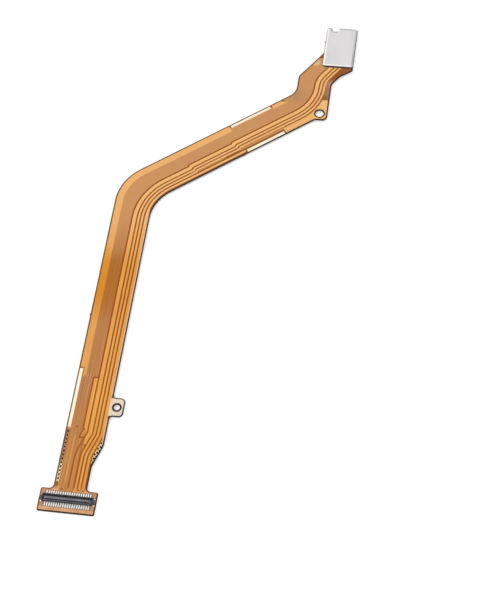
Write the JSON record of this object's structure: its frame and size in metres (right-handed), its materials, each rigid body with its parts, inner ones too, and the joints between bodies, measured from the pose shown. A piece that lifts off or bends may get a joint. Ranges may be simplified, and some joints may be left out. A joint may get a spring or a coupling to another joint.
{
  "type": "flat flex cable",
  "caption": "Thin dog-legged flexible printed circuit with a board connector on opposite faces at its two ends, steel backing plates, a grounding ear and a locating hole.",
  "frame": {"origin": "on the surface that the part rests on, under the middle of its bounding box", "axes": "+Y along the lower run from the head to the tail, +X across it towards the side that the tail lies on, +Z out of the amber face"},
  "size_m": [0.0434, 0.1096, 0.0012],
  "materials": {
    "base_film": "smooth orange-brown polyimide film",
    "amber_film": "satin amber cover film",
    "copper": "rolled copper foil seen through the amber film",
    "gold_plate": "pale plated copper left bare",
    "shield": "satin black shielding film",
    "white_ink": "matt white printed ink",
    "adhesive": "thin bonding sheet",
    "steel": "pale satin stainless plate",
    "dark_moulding": "dark moulded connector body",
    "contact_metal": "bright plated spring strip"
  },
  "bodies": {
    "root": {"base_film": "base_film", "ground_band": "copper", "power_plane": "copper", "signal_traces": "copper", "feed_strip": "copper", "corner_ground": "copper", "ground_hatch": "gold_plate", "lower_bare_strip": "gold_plate", "upper_bare_strip": "gold_plate", "inner_bare_strip": "gold_plate", "ear_pad": "gold_plate", "front_coverlay": "amber_film", "rear_ground": "copper", "rear_coverlay": "amber_film", "shield_film": "shield", "head_marking_line": "white_ink", "tail_marking_line": "white_ink", "head_plate_adhesive": "adhesive", "head_plate": "steel", "tail_plate_adhesive": "adhesive", "tail_plate": "steel", "head_solder_pads": "gold_plate", "head_socket_body": "dark_moulding", "head_far_contacts": "contact_metal", "head_near_contacts": "contact_metal", "head_hold_downs": "contact_metal", "tail_solder_pads": "gold_plate", "tail_plug_body": "dark_moulding", "tail_outer_contacts": "contact_metal", "tail_inner_contacts": "contact_metal", "tail_hold_downs": "contact_metal"}
  },
  "joints": []
}
